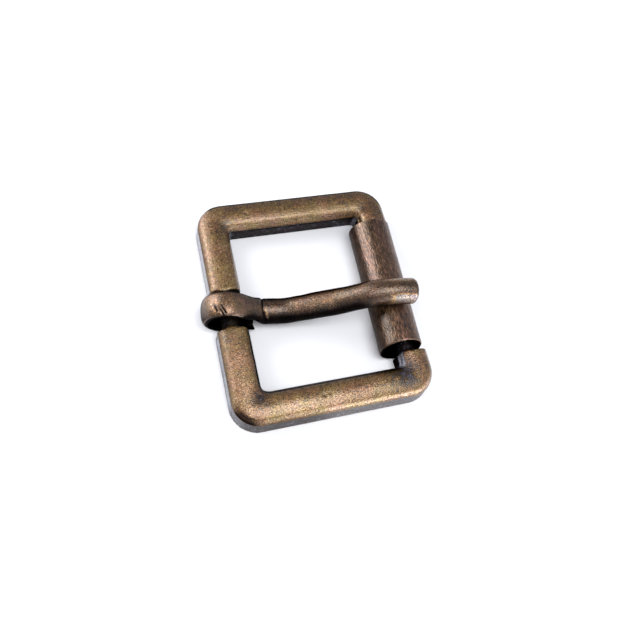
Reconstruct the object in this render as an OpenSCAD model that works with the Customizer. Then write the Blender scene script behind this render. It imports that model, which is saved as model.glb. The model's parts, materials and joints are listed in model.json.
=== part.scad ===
// Roller buckle for a 25 mm strap: a cast frame, a rolled sheet roller on its front bar
// and a prong whose flattened end is wrapped round the neck of the heel bar.
// X runs along the strap from the heel bar to the roller, Y runs along the bars, Z is up
// from the flat underside. The origin is under the middle of the whole buckle's box.

/* [Frame] */
// Strap width: length of the window along the bars
strap_w = 25; // [20:0.5:50]
// Length of the window along the strap
window_len = 20; // [18:0.5:22]
// Width of the frame's bars at the underside
bar_w = 4.5; // [4.3:0.1:5]
// Height of the frame, underside to crown
frame_h = 4.1; // [3.9:0.05:4.4]
// Outer corner radius, seen from above
corner_r = 4; // [3.9:0.1:4.2]
// Corner radius of the window
window_r = 0.7; // [0.5:0.1:1]
// How far the outer wall leans in up to the crown's edge
draft = 0.25; // [0.1:0.05:0.4]
// Radius of the crown across a bar
crown_r = 4; // [3.5:0.1:6]
// Radius of the rounding at the crown's two edges
edge_r = 1.5; // [1.3:0.05:1.7]

/* [Heel bar neck] */
// Length of the neck that the prong turns on
neck_len = 5.8; // [5.4:0.1:8]
// Diameter of the neck
neck_d = 2.4; // [2:0.1:2.5]
// Height of the neck's axis above the underside
neck_z = 2.8; // [2.7:0.05:2.85]

/* [Roller] */
// Outside diameter of the roller
roller_d = 6.15; // [5.9:0.05:6.2]
// Thickness of the roller's sheet
roller_wall = 0.45; // [0.3:0.05:0.5]
// Length of the roller
roller_len = 19.6; // [10:0.1:20]
// End play of the roller between the two shoulders of the frame
roller_play = 0.8; // [0.4:0.05:1]
// Gap between the roller and the shoulder on the +Y side, where it lies
roller_gap = 0.25; // [0.1:0.05:0.3]
// How far the middle of the roller's seat lies towards -Y
seat_side = 0.2; // [0:0.05:0.3]
// Rounding of each shoulder's outer corner, seen from above
shoulder_r = 0.7; // [0.3:0.1:1]
// Diameter of the bar inside the roller
spindle_d = 2.6; // [2:0.1:2.8]
// How far the loose roller lies in towards the window from being flush with the frame
roller_slack = 0.65; // [0:0.05:0.7]
// Height of the roller's underside above the frame's underside
roller_lift = 0.08; // [0.05:0.01:0.2]
// How far the loose roller lies out of line with its bar, its -Y end towards the window, in degrees
roller_yaw = 1.5; // [0:0.1:1.8]

/* [Prong] */
// Outside radius of the loop
loop_r = 3.35; // [3.3:0.05:3.4]
// Thickness of the flattened strip
strip_t = 1.05; // [0.9:0.05:1.05]
// Width of the flattened strip along the neck
strip_w = 3.7; // [3:0.05:3.8]
// How far the strip lies to the -Y side of the shank's middle
strip_side = 0.3; // [0:0.05:0.4]
// How far the loop's middle lies behind the neck's axis
loop_back = 0.4; // [0:0.05:0.5]
// Height of the loop's underside above the frame's underside
loop_lift = 0.15; // [0.1:0.05:0.2]
// Diameter of the shank
shank_d = 3.65; // [3:0.05:3.7]
// Rounding of the blunt tip
tip_r = 0.8; // [0.3:0.1:1.2]
// How far the prong points aside, towards -Y, in degrees
prong_skew = 7.6; // [0:0.1:8]

/* [Hidden] */
$fn = 96;

frame_x = window_len + 2 * bar_w;
frame_y = strap_w + 2 * bar_w;
heel_x = -(frame_x - bar_w) / 2; // the middle of the heel bar
loop_z = loop_r + loop_lift;
strip_near = -strip_side - strip_w / 2; // the strip's edge towards -Y
loop_left = heel_x - (loop_back + loop_r) * cos(prong_skew) + strip_near * sin(prong_skew);
box_shift = -(frame_x / 2 + loop_left) / 2; // centres the box from the loop to the front edge

// Section of a bar: flat below, outer wall on the right, crown of three arcs above
wall_in = 15; // degrees by which the edge rounding meets a wall short of tangent
crown_half = (bar_w - draft) / 2;
edge_u = crown_half - edge_r * cos(wall_in);
turn_u = 1.4; // where the crown's middle arc hands over to the edge rounding
turn_z = frame_h - crown_r + sqrt(crown_r^2 - turn_u^2);
edge_z = turn_z - sqrt(edge_r^2 - (turn_u - edge_u)^2);

module bar_section() {
    flat_u = turn_u - 0.2;
    above = frame_h + 1;
    intersection() {
        polygon([
            [-bar_w / 2, 0], [bar_w / 2, 0],
            [bar_w / 2 - draft, edge_z], [bar_w / 2 - draft, above], [-bar_w / 2, above]
        ]);
        translate([-draft / 2, frame_h - crown_r]) circle(crown_r);
        translate([-draft / 2, 0]) union() {
            translate([-bar_w, -1]) square([2 * bar_w, edge_z + 1]);
            translate([-flat_u, 0]) square([2 * flat_u, above]);
            for (side = [-1, 1]) translate([side * edge_u, edge_z]) circle(edge_r);
        }
    }
}

// A straight bar along X with its outer wall towards +Y
module bar(len) {
    rotate([90, 0, 90]) linear_extrude(len, center = true) bar_section();
}

// A quarter of a corner, turned about the middle of the outer rounding
module corner() {
    rotate_extrude(angle = 90) intersection() {
        translate([corner_r - bar_w / 2, 0]) bar_section();
        square([corner_r, frame_h]);
    }
}

// Fills the window's corner up to a wall's height, round a small radius
module window_corner() {
    linear_extrude(edge_z) difference() {
        translate([-window_r, -window_r]) square(window_r + 0.3);
        translate([-window_r, -window_r]) circle(window_r);
    }
}

module plain_frame() {
    run_x = frame_x - 2 * corner_r;
    run_y = frame_y - 2 * corner_r;
    for (half = [0, 180]) rotate([0, 0, half]) {
        translate([0, (frame_y - bar_w) / 2, 0]) bar(run_x);
        translate([(frame_x - bar_w) / 2, 0, 0]) rotate([0, 0, -90]) bar(run_y);
        translate([run_x / 2, run_y / 2, 0]) corner();
        translate([-run_x / 2, run_y / 2, 0]) rotate([0, 0, 90]) corner();
        translate([window_len / 2, strap_w / 2, 0]) window_corner();
        translate([-window_len / 2, strap_w / 2, 0]) rotate([0, 0, 90]) window_corner();
    }
}

// What is cut from a bar between its two shoulders
module shoulder_gap(x, len) {
    translate([x - bar_w, -len / 2, -1]) cube([2 * bar_w, len, frame_h + 2]);
}

// What is cut from the outer corner of a shoulder, whose end face is at y = 0
module shoulder_corner() {
    translate([frame_x / 2 - shoulder_r, shoulder_r, -1]) linear_extrude(frame_h + 2) difference() {
        translate([0, -shoulder_r - 0.1]) square([shoulder_r + 1, shoulder_r + 0.1]);
        circle(shoulder_r);
    }
}

module bar_along_y(x, z, d, len) {
    translate([x, len / 2, z]) rotate([90, 0, 0]) cylinder(d = d, h = len);
}

seat_len = roller_len + roller_play;
spindle_x = (frame_x - roller_d) / 2;
spindle_z = frame_h * 0.6;

module frame() {
    root = 0.4; // how far a thin bar runs into each shoulder
    color("#8a6d3f") translate([box_shift, 0, 0]) {
        difference() {
            plain_frame();
            shoulder_gap(heel_x, neck_len);
            translate([0, -seat_side, 0]) {
                shoulder_gap(frame_x / 2, seat_len);
                for (side = [0, 1]) mirror([0, side, 0]) translate([0, seat_len / 2, 0]) shoulder_corner();
            }
        }
        bar_along_y(heel_x, neck_z, neck_d, neck_len + 2 * root);
        translate([0, -seat_side, 0]) bar_along_y(spindle_x, spindle_z, spindle_d, seat_len + 2 * root);
    }
}

roller_x = spindle_x - roller_slack;
roller_far = seat_len / 2 - seat_side - roller_gap; // the roller's end towards +Y
roller_z = roller_d / 2 + roller_lift;

module roller() {
    seam_w = 0.15;
    middle = roller_far - roller_len / 2;
    color("#6b5038") translate([box_shift + roller_x, middle, roller_z]) rotate([0, 0, -roller_yaw])
        rotate([90, 0, 0]) difference() {
            cylinder(d = roller_d, h = roller_len, center = true);
            cylinder(d = roller_d - 2 * roller_wall, h = roller_len + 2, center = true);
            // butt seam of the rolled sheet, half through, on the underside
            translate([-seam_w / 2, -roller_d / 2 - 1, -roller_len / 2 - 1])
                cube([seam_w, 1 + roller_wall / 2, roller_len + 2]);
        }
}

// The prong is drawn in its own side view: x along the prong from above the neck's axis,
// y up from the height of the loop's centre
crease = [4.85, 0.675]; // top of the sharp crease between the strip and the shank
tail = [3.9, -1.0];   // outer corner of the strip's free end, bent up under the shank
tail_bend = 1.75;     // outer radius of that bend
shank_start = [crease[0], crease[1] - shank_d / 2];

RUN = 0;    // straight length
TURN = 1;   // degrees turned after it, up is positive
RADIUS = 2; // radius of that bend
// The shank dips in the window, climbs to the roller and levels out over it
shank_path = [
    [2.1, 20.5, 6],
    [5.6, 9, 10],
    [3.85, -21.5, 6],
    [0.5, -10, 12]
];
tip_run = 1.85;     // straight length that ends in the blunt tip
bend_step = 5;     // degrees between two rings round a bend
ring_sides = 24;
root_cone = [0.8, 0.5]; // length and depth of the slope that the shank starts with, under the strip
leg_end = 2.8;     // width of the strip where it meets the shank's top

module annulus(outer) {
    difference() {
        circle(outer);
        circle(outer - strip_t);
    }
}

module strip_side_view() {
    loop = [-loop_back, 0];
    reach = crease - loop;
    // the strip leaves the loop along the tangent that runs to the crease
    leave = atan2(reach[0], reach[1]) - acos(loop_r / norm(reach));
    out = [sin(leave), cos(leave)];
    bite = [sin(leave - 6), cos(leave - 6)]; // the leg reaches this far back into the loop's strip
    away = 2 * loop_r;
    tail_centre = [tail[0] - tail_bend, tail_bend - loop_r];
    // over the top, down the back and under the neck
    translate(loop) difference() {
        annulus(loop_r);
        polygon([[0, 0], away * out, away * [1, 0], away * [1, -1], [0, -away]]);
    }
    // the free end: flat under the neck, then bent up
    translate([loop[0] - 0.01, -loop_r]) square([tail_centre[0] - loop[0] + 0.02, strip_t]);
    translate(tail_centre) intersection() {
        annulus(tail_bend);
        translate([0, -tail_bend]) square(tail_bend);
    }
    translate([tail[0] - strip_t, tail_centre[1] - 0.01]) square([strip_t, tail[1] - tail_centre[1] + 0.01]);
    // the leg down to the crease, thickening into the shank
    polygon([
        loop + (loop_r - strip_t) * out, loop + (loop_r - strip_t / 2) * bite, loop + loop_r * out,
        crease, [crease[0], shank_start[1] - shank_d / 2 + 0.3],
        [tail[0] + 0.4, tail[1] + 0.3], [tail[0] - 0.2, tail[1] + 1.1]
    ]);
}

// Seen from above, the strip runs a little to one side and narrows onto the shank
module strip_plan() {
    back = -2 * loop_r;
    strip_far = strip_near + strip_w;
    polygon([
        [back, strip_near], [tail[0] - tail_bend, strip_near], [crease[0], -leg_end / 2],
        [crease[0], leg_end / 2], [1, strip_far], [back, strip_far]
    ]);
}

function heading(angle) = [cos(angle), sin(angle)];
function left_of(angle) = [-sin(angle), cos(angle)];

// Walks the shank's path: [place, heading, radius] of the ring at each end of a straight run
// and at each step round a bend
function rings(at, angle, row = 0) = row == len(shank_path) ? tip_rings(at, angle) :
    let(
        turn = shank_path[row][TURN],
        arm = sign(turn) * shank_path[row][RADIUS],
        bend_at = at + shank_path[row][RUN] * heading(angle),
        centre = bend_at + arm * left_of(angle),
        steps = ceil(abs(turn) / bend_step),
        bend = [for (i = [0 : steps]) let(a = angle + turn * i / steps) [centre - arm * left_of(a), a, shank_d / 2]]
    ) concat(bend, rings(bend[steps][0], angle + turn, row + 1));

// The blunt end, rounded off at its rim
function tip_rings(at, angle) = [
    for (a = [0 : 22.5 : 90])
        [at + (tip_run - tip_r * (1 - sin(a))) * heading(angle), angle, shank_d / 2 - tip_r * (1 - cos(a))]
];

function ring_points(ring) = [
    for (i = [0 : ring_sides - 1])
        let(a = 360 * i / ring_sides, up = ring[0] + ring[2] * sin(a) * left_of(ring[1]))
            [up[0], ring[2] * cos(a), up[1]]
];

module shank() {
    path = concat(
        [[shank_start - [root_cone[0], 0], 0, shank_d / 2 - root_cone[1]]],
        rings(shank_start, 0)
    );
    last = len(path) - 1;
    n = ring_sides;
    polyhedron(
        points = [for (ring = path) each ring_points(ring)],
        faces = concat(
            [[for (i = [0 : n - 1]) i]],
            [for (k = [0 : last - 1], i = [0 : n - 1]) [k * n + i, (k + 1) * n + i, (k + 1) * n + (i + 1) % n, k * n + (i + 1) % n]],
            [[for (i = [n - 1 : -1 : 0]) last * n + i]]
        )
    );
}

module prong() {
    color("#7a5c3a") translate([box_shift + heel_x, 0, loop_z]) rotate([0, 0, -prong_skew]) {
        intersection() {
            rotate([90, 0, 0]) linear_extrude(2 * strip_w, center = true) strip_side_view();
            linear_extrude(4 * loop_r, center = true) strip_plan();
        }
        shank();
    }
}

frame();
roller();
prong();
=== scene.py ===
# Roller buckle in antique brass plate: the looks of its frame, roller and prong, lying on a white floor.
import json
from math import atan2, cos, pi, radians, sin, sqrt
import bpy
import numpy as np
from mathutils import Matrix, Vector


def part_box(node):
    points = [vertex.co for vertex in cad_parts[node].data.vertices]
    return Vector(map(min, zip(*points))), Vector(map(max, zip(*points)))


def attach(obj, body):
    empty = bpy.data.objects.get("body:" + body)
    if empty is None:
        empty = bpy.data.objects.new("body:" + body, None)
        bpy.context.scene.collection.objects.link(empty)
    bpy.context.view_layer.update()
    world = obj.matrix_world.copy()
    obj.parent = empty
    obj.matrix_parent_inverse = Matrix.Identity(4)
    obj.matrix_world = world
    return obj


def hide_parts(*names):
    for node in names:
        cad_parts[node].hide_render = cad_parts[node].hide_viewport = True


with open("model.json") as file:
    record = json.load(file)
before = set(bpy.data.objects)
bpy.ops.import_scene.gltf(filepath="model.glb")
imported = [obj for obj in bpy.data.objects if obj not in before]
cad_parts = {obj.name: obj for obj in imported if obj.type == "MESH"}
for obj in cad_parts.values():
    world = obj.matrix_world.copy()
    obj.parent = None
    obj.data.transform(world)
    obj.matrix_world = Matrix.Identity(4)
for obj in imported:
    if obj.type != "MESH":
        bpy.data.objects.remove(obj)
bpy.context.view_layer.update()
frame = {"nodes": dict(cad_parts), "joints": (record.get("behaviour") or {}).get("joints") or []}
mm = 0.001
joints = {joint["name"]: joint for joint in frame["joints"]}
print("frame loaded:", sorted(frame["nodes"]))


# small tools that every piece uses
def nodeBox(name):
    # a solid's lowest and highest corners, in millimetres
    low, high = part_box(name)
    return np.array(low) / mm, np.array(high) / mm


def linearColour(code):
    # "#a07040" as the linear RGBA that Blender's sockets want
    parts = [int(code[i:i + 2], 16) / 255 for i in (1, 3, 5)]
    return [c / 12.92 if c <= 0.04045 else ((c + 0.055) / 1.055) ** 2.4 for c in parts] + [1.0]


def addNode(tree, kind, inputs=None, **settings):
    # an input takes a plain value, or another node's output, which is linked
    made = tree.nodes.new(kind)
    for name, value in settings.items():
        setattr(made, name, value)
    for socket, value in (inputs or {}).items():
        if isinstance(value, bpy.types.NodeSocket):
            tree.links.new(value, made.inputs[socket])
        else:
            made.inputs[socket].default_value = value
    return made


def fillRamp(ramp, colours):
    # the stops of a colour ramp, from its first to its last
    stops = ramp.color_ramp.elements
    for stop, (at, colour) in zip((stops[0], stops[1]), (colours[0], colours[-1])):
        stop.position = at
        stop.color = linearColour(colour)
    for at, colour in colours[1:-1]:
        stops.new(at).color = linearColour(colour)


def smoothRise(start, full, value):
    # 0 before start, 1 past full, and an even curve between; full may be the lower of the two
    t = np.clip((value - start) / (full - start), 0, 1)
    return t * t * (3 - 2 * t)


def masked(measures, ramps):
    # how far each point lies inside a mask; each ramp names a measure, its start and where it is full
    share = 1.0
    for name, start, full in ramps:
        share = share * smoothRise(start, full, measures[name])
    return share


def maskShares(masks, measures):
    # every mask of a piece, times what it is worth where it is full
    return {name: worth * masked(measures, ramps) for name, (worth, ramps) in masks.items()}


def blended(first, second, share):
    # each value, a share of the way from the first row to the second
    return [a + (b - a) * share for a, b in zip(first, second)]


def bell(distance, reach):
    # 1 at no distance, and almost 0 at twice the reach
    return np.exp(-(distance / reach) ** 2)


def cloudNoise(points, size, seed):
    # smooth random value from -1 to 1 at each point, changing over about that many millimetres
    cells = 32           # the random table repeats after so many
    offset = 500         # cells, so that every place is above 0
    table = np.random.default_rng(seed).uniform(-1, 1, (cells, cells, cells))
    place = np.asarray(points) / size + offset
    whole = np.floor(place).astype(int)
    part = place - whole
    part = part * part * (3 - 2 * part)
    total = np.zeros(len(place))
    for corner in np.ndindex(2, 2, 2):
        at = (whole + corner) % cells
        weight = np.prod(np.where(np.array(corner) == 1, part, 1 - part), axis=1)
        total += weight * table[at[:, 0], at[:, 1], at[:, 2]]
    return total


def readMesh(mesh):
    count = len(mesh.vertices)
    points, normals = np.zeros(count * 3), np.zeros(count * 3)
    mesh.vertices.foreach_get("co", points)
    mesh.vertices.foreach_get("normal", normals)
    return points.reshape(-1, 3), normals.reshape(-1, 3)


def writePoints(mesh, points):
    mesh.vertices.foreach_set("co", np.asarray(points, np.float32).ravel())
    mesh.update()


def writeMask(mesh, name, values):
    mask = mesh.attributes.new(name, "FLOAT", "POINT")
    mask.data.foreach_set("value", np.clip(values, 0, 1).astype(np.float32))


def meshLinks(mesh):
    pairs = np.zeros(len(mesh.edges) * 2, int)
    mesh.edges.foreach_get("vertices", pairs)
    return pairs.reshape(-1, 2)


def evened(values, links, rounds, weights=None):
    # moves each vertex's value towards the mean of its neighbours, again and again
    pull = 0.6           # share of the way that one round moves it
    count = len(values)
    ends, others = np.concatenate([links, links[:, ::-1]]).T
    degree = np.bincount(ends, minlength=count)[:, None]
    out = np.array(values, float).reshape(count, -1)
    share = pull if weights is None else pull * weights[:, None]
    for _ in range(rounds):
        mean = np.stack([np.bincount(ends, col[others], count) for col in out.T], 1) / degree
        out = out + share * (mean - out)
    return out.reshape(np.shape(values))


def ridges(points, normals, links, rounds):
    # how far each vertex stands out from its evened neighbourhood: above 0 on edges, below 0 in hollows
    return np.sum((points - evened(points, links, rounds)) * normals, axis=1)


def newObject(name, data):
    made = bpy.data.objects.new(name, data)
    bpy.context.scene.collection.objects.link(made)
    return made


def polyCurve(name, runs, closed=False):
    # one straight-edged spline for each run of points, in millimetres
    curve = bpy.data.curves.new(name, "CURVE")
    curve.dimensions = "3D"
    for run in runs:
        spline = curve.splines.new("POLY")
        spline.points.add(len(run) - 1)
        for point, at in zip(spline.points, run):
            point.co = (*at, 1)
        spline.use_cyclic_u = closed
    return newObject(name, curve)


def loft(name, rings):
    # skins a list of rings, and closes both ends with strips from one side of the ring to the other
    rings = np.asarray(rings, float)
    count, around = rings.shape[:2]
    faces = []
    for k in range(count - 1):
        for i in range(around):
            j = (i + 1) % around
            faces.append((k * around + i, k * around + j, (k + 1) * around + j, (k + 1) * around + i))
    for start, turn in ((0, -1), ((count - 1) * around, 1)):
        for i in range(around // 2 - 1):
            quad = [start + i, start + i + 1, start + around - 2 - i, start + around - 1 - i]
            faces.append(quad[::turn])
    mesh = bpy.data.meshes.new(name)
    mesh.from_pydata(rings.reshape(-1, 3).tolist(), [], faces)
    mesh.update()
    return newObject(name, mesh)


def printBox(name, mesh, node):
    points = readMesh(mesh)[0]
    print(name, "box", points.min(0), points.max(0), "solid", *nodeBox(node))


def finishPiece(piece, body, node, material):
    # millimetres become metres, then the piece takes its node's place
    piece.data.transform(Matrix.Scale(mm, 4))
    piece.data.materials.clear()
    piece.data.materials.append(material)
    piece.data.shade_smooth()
    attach(piece, body)
    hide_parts(node)
    print(piece.name, "has", sum(len(p.vertices) - 2 for p in piece.data.polygons), "triangles")


# camera, at the photograph's angle
frameLow, frameHigh = nodeBox("frame")
frameMiddle = (frameLow[0] + frameHigh[0]) / 2
viewpoint = {
    # the point of the floor in the middle of the picture, mm from the frame's middle
    "target": (0.97, -2.40, 0.0),
    "distance": 90.13,              # mm
    "azimuth": -35.54,              # degrees, 0 looks along +Y
    "elevation": 65.46,             # degrees above the floor
    "roll": 23.89,                  # degrees, the picture is turned
    "lens": 34.62, "sensor": 36,    # mm
    "nearest": 1,                   # mm, nothing closer is drawn
}


def makeCamera():
    turn, rise, roll = (radians(viewpoint[key]) for key in ("azimuth", "elevation", "roll"))
    back = Vector((sin(turn) * cos(rise), -cos(turn) * cos(rise), sin(rise)))
    side = Vector((0, 0, 1)).cross(back).normalized()
    top = back.cross(side)
    right = side * cos(roll) + top * sin(roll)
    up = top * cos(roll) - side * sin(roll)
    data = bpy.data.cameras.new("camera")
    data.sensor_width = viewpoint["sensor"]
    data.lens = viewpoint["lens"]
    data.clip_start = viewpoint["nearest"] * mm
    camera = newObject("camera", data)
    target = Vector(viewpoint["target"]) + Vector((frameMiddle, 0, 0))
    place = (target + back * viewpoint["distance"]) * mm
    camera.matrix_world = Matrix.Translation(place) @ Matrix((right, up, back)).transposed().to_4x4()
    bpy.context.scene.camera = camera


makeCamera()
print("camera placed")


# studio: a white floor under near softboxes, in a pale tent
studio = {
    "floorSize": 3.0,                # m
    "floorColour": "#f5f6f9", "floorRoughness": 0.9, "floorGloss": 0.1,
    # the room's light by how far a direction points at its window: cosine, colour
    "windowSide": (0.76, -0.62, 0.2),
    "room": [(0.0, "#94969f"), (0.35, "#a6a8b2"), (0.95, "#ffffff")],
    "roomStrength": 1.05,
    # name, place of the middle and the point it shines at, width and height, all in mm, power in W,
    # spread in degrees; the last one keeps the paper white in the far corner
    "lights": [
        ("leftSoftbox", (-108, 86, 76), (0, 0, 0), 110, 115, 0.21, 180),
        ("topSoftbox", (4, -26, 118), (0, 0, 0), 80, 56, 0.10, 180),
        ("frontStrip", (130, -262, 28), (0, 0, 0), 150, 44, 0.42, 180),
        ("paperLight", (88, 60, 110), (88, 60, 0), 30, 30, 0.006, 45),
    ],
}


def makeFloor():
    half = studio["floorSize"] / 2
    corners = [(-half, -half, 0), (half, -half, 0), (half, half, 0), (-half, half, 0)]
    mesh = bpy.data.meshes.new("floor")
    mesh.from_pydata(corners, [], [(0, 1, 2, 3)])
    floor = newObject("floor", mesh)
    # uncoated paper scatters the light evenly and has next to no gloss
    paper = bpy.data.materials.new("matt white paper")
    paper.use_nodes = True
    shader = paper.node_tree.nodes["Principled BSDF"]
    shader.inputs["Base Color"].default_value = linearColour(studio["floorColour"])
    shader.inputs["Roughness"].default_value = studio["floorRoughness"]
    shader.inputs["Specular IOR Level"].default_value = studio["floorGloss"]
    mesh.materials.append(paper)


def makeLights():
    for name, middle, aim, width, height, power, spread in studio["lights"]:
        data = bpy.data.lights.new(name, "AREA")
        data.shape = "RECTANGLE"
        data.size, data.size_y = width * mm, height * mm
        data.energy = power
        data.spread = radians(spread)
        light = newObject(name, data)
        light.location = Vector(middle) * mm
        light.rotation_euler = (Vector(middle) - Vector(aim)).to_track_quat("Z", "Y").to_euler()


def makeRoom():
    world = bpy.data.worlds.new("room")
    world.use_nodes = True
    tree = world.node_tree
    place = addNode(tree, "ShaderNodeTexCoord").outputs["Generated"]
    toward = Vector(studio["windowSide"]).normalized()
    facing = addNode(tree, "ShaderNodeVectorMath", {0: place, 1: toward}, operation="DOT_PRODUCT")
    ramp = addNode(tree, "ShaderNodeValToRGB", {"Fac": facing.outputs["Value"]})
    fillRamp(ramp, studio["room"])
    room = tree.nodes["Background"]
    room.inputs["Strength"].default_value = studio["roomStrength"]
    tree.links.new(ramp.outputs["Color"], room.inputs["Color"])
    bpy.context.scene.world = world
    bpy.context.scene.view_settings.view_transform = "Standard"


makeFloor()
makeLights()
makeRoom()
print("studio lit")


# materials: brass plate blackened in a bath, tumbled and lacquered; this is what the three plates share
plating = {
    "detail": 2.0, "speckDetail": 0.0, "noiseRoughness": 0.6,
    "noiseSpan": (0.3, 0.7),         # between these a noise runs from its least to its most
    "filmToBrass": (0.1, 0.4),       # rubbed amounts where film ends and where brass is bare
    "tintFrom": (0.15, 0.35), "leastTint": 0.4,
    "hueSpan": (0.38, 0.62), "rose": "#ffeeea",
    "speckSpan": (0.68, 0.78), "speckDepth": 0.6, "speckPit": 0.3, "speckColour": "#17120e",
    "sootAndShadeDepth": 0.7, "sootAndShadeColour": "#030303", "sootyAndShadedEdge": "#303030",
    "roughnessSwing": 0.12, "lacquerIor": 1.65,
}


def antiquePlate(name, own):
    # where it is rubbed it shows olive to rose brass, elsewhere a grey to black film, and the lacquer
    # puts a soft white gloss on both
    look = {**plating, **own}
    material = bpy.data.materials.new(name)
    material.use_nodes = True
    tree = material.node_tree
    shader = tree.nodes["Principled BSDF"]
    place = addNode(tree, "ShaderNodeTexCoord").outputs["Object"]
    along = addNode(tree, "ShaderNodeMapping", {"Vector": place, "Scale": look["stretch"]}).outputs["Vector"]
    worn = addNode(tree, "ShaderNodeAttribute", attribute_name="rubbed").outputs["Fac"]
    sootAndShade = addNode(tree, "ShaderNodeAttribute", attribute_name="sootyAndShaded").outputs["Fac"]

    # a noise for each use, with its size in millimetres
    noises = {}
    for use, size in look["sizes"].items():
        detail = look["speckDetail"] if use == "speck" else look["detail"]
        noises[use] = addNode(tree, "ShaderNodeTexNoise", {
            "Vector": along, "Scale": 1 / (size * mm), "Detail": detail,
            "Roughness": look["noiseRoughness"]}).outputs["Fac"]

    # blotches of more and less film, which fade where the film is thick
    swing = -sum(look["blotches"].values()) / 2
    for use, amount in look["blotches"].items():
        swing = addNode(tree, "ShaderNodeMath", {
            0: noises[use], 1: amount, 2: swing}, operation="MULTIPLY_ADD").outputs[0]
    filmEnd, brassStart = look["filmToBrass"]
    onBrass = addNode(tree, "ShaderNodeMapRange", {
        "Value": worn, "From Min": filmEnd, "From Max": brassStart,
        "To Min": look["filmBlotches"], "To Max": 1.0}).outputs[0]
    bare = addNode(tree, "ShaderNodeMath", {
        0: swing, 1: onBrass, 2: worn}, operation="MULTIPLY_ADD", use_clamp=True).outputs[0]
    ramp = addNode(tree, "ShaderNodeValToRGB", {"Fac": bare})
    fillRamp(ramp, look["colours"])

    # the brass leans to olive in places and to rose in others
    hue = addNode(tree, "ShaderNodeValToRGB", {"Fac": noises["hue"]})
    fillRamp(hue, [(look["hueSpan"][0], look["olive"]), (look["hueSpan"][1], look["rose"])])
    tintStart, tintFull = look["tintFrom"]
    brass = addNode(tree, "ShaderNodeMapRange", {
        "Value": worn, "From Min": tintStart, "From Max": tintFull, "To Min": look["leastTint"]}).outputs[0]
    tinted = addNode(tree, "ShaderNodeMix", {
        0: brass, 6: ramp.outputs["Color"], 7: hue.outputs["Color"]},
        data_type="RGBA", blend_type="MULTIPLY")

    # fine grain, and soot and painted shade take the colour down
    noiseLow, noiseHigh = look["noiseSpan"]
    grain = addNode(tree, "ShaderNodeMapRange", {
        "Value": noises["grain"], "From Min": noiseLow, "From Max": noiseHigh,
        "To Min": 1 - look["grain"], "To Max": 1 + look["grain"]}).outputs[0]
    grained = addNode(tree, "ShaderNodeHueSaturation", {
        "Value": grain, "Fac": brass, "Color": tinted.outputs[2]})
    shade = addNode(tree, "ShaderNodeMath", {0: sootAndShade, 1: look["sootAndShadeDepth"]}, operation="MULTIPLY").outputs[0]
    dulled = addNode(tree, "ShaderNodeMix", {
        0: shade, 6: grained.outputs["Color"], 7: linearColour(look["sootAndShadeColour"])}, data_type="RGBA")

    # dark specks are pits where the film stayed
    speckStart, speckFull = look["speckSpan"]
    specks = addNode(tree, "ShaderNodeMapRange", {
        "Value": noises["speck"], "From Min": speckStart, "From Max": speckFull,
        "To Min": 0.0, "To Max": look["speckDepth"]}).outputs[0]
    pitted = addNode(tree, "ShaderNodeMix", {
        0: specks, 6: dulled.outputs[2], 7: linearColour(look["speckColour"])}, data_type="RGBA")

    # the tumbled surface: rougher and smoother places, broad waves, fine dents and the pits
    rough = addNode(tree, "ShaderNodeMapRange", {
        "Value": noises["fine"], "From Min": noiseLow, "From Max": noiseHigh,
        "To Min": look["roughness"] - look["roughnessSwing"],
        "To Max": look["roughness"] + look["roughnessSwing"]}).outputs[0]
    broad = addNode(tree, "ShaderNodeBump", {
        "Height": noises["wave"], "Strength": 1.0, "Distance": look["waveDepth"] * mm}).outputs["Normal"]
    height = addNode(tree, "ShaderNodeMath", {
        0: specks, 1: -look["speckPit"], 2: noises["fine"]}, operation="MULTIPLY_ADD").outputs[0]
    bump = addNode(tree, "ShaderNodeBump", {
        "Height": height, "Strength": 1.0, "Distance": look["fineDepth"] * mm,
        "Normal": broad}).outputs["Normal"]

    # neither the lacquer nor the metal shines at a glancing angle where soot and painted shade lie
    gloss = addNode(tree, "ShaderNodeMapRange", {
        "Value": worn, "From Min": filmEnd, "From Max": brassStart,
        "To Min": look["filmLacquer"], "To Max": look["lacquer"]}).outputs[0]
    clean = addNode(tree, "ShaderNodeMath", {0: 1.0, 1: sootAndShade}, operation="SUBTRACT").outputs[0]
    coat = addNode(tree, "ShaderNodeMath", {0: gloss, 1: clean}, operation="MULTIPLY").outputs[0]
    edge = addNode(tree, "ShaderNodeValToRGB", {"Fac": sootAndShade})
    fillRamp(edge, [(0.0, look["edgeTint"]), (1.0, look["sootyAndShadedEdge"])])
    for socket, value in (("Base Color", pitted.outputs[2]), ("Roughness", rough), ("Normal", bump),
                          ("Coat Normal", bump), ("Coat Weight", coat),
                          ("Specular Tint", edge.outputs["Color"])):
        tree.links.new(value, shader.inputs[socket])
    for socket, value in (("Metallic", 1.0), ("Coat Roughness", look["lacquerRoughness"]),
                          ("Coat IOR", look["lacquerIor"])):
        shader.inputs[socket].default_value = value
    return material


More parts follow.
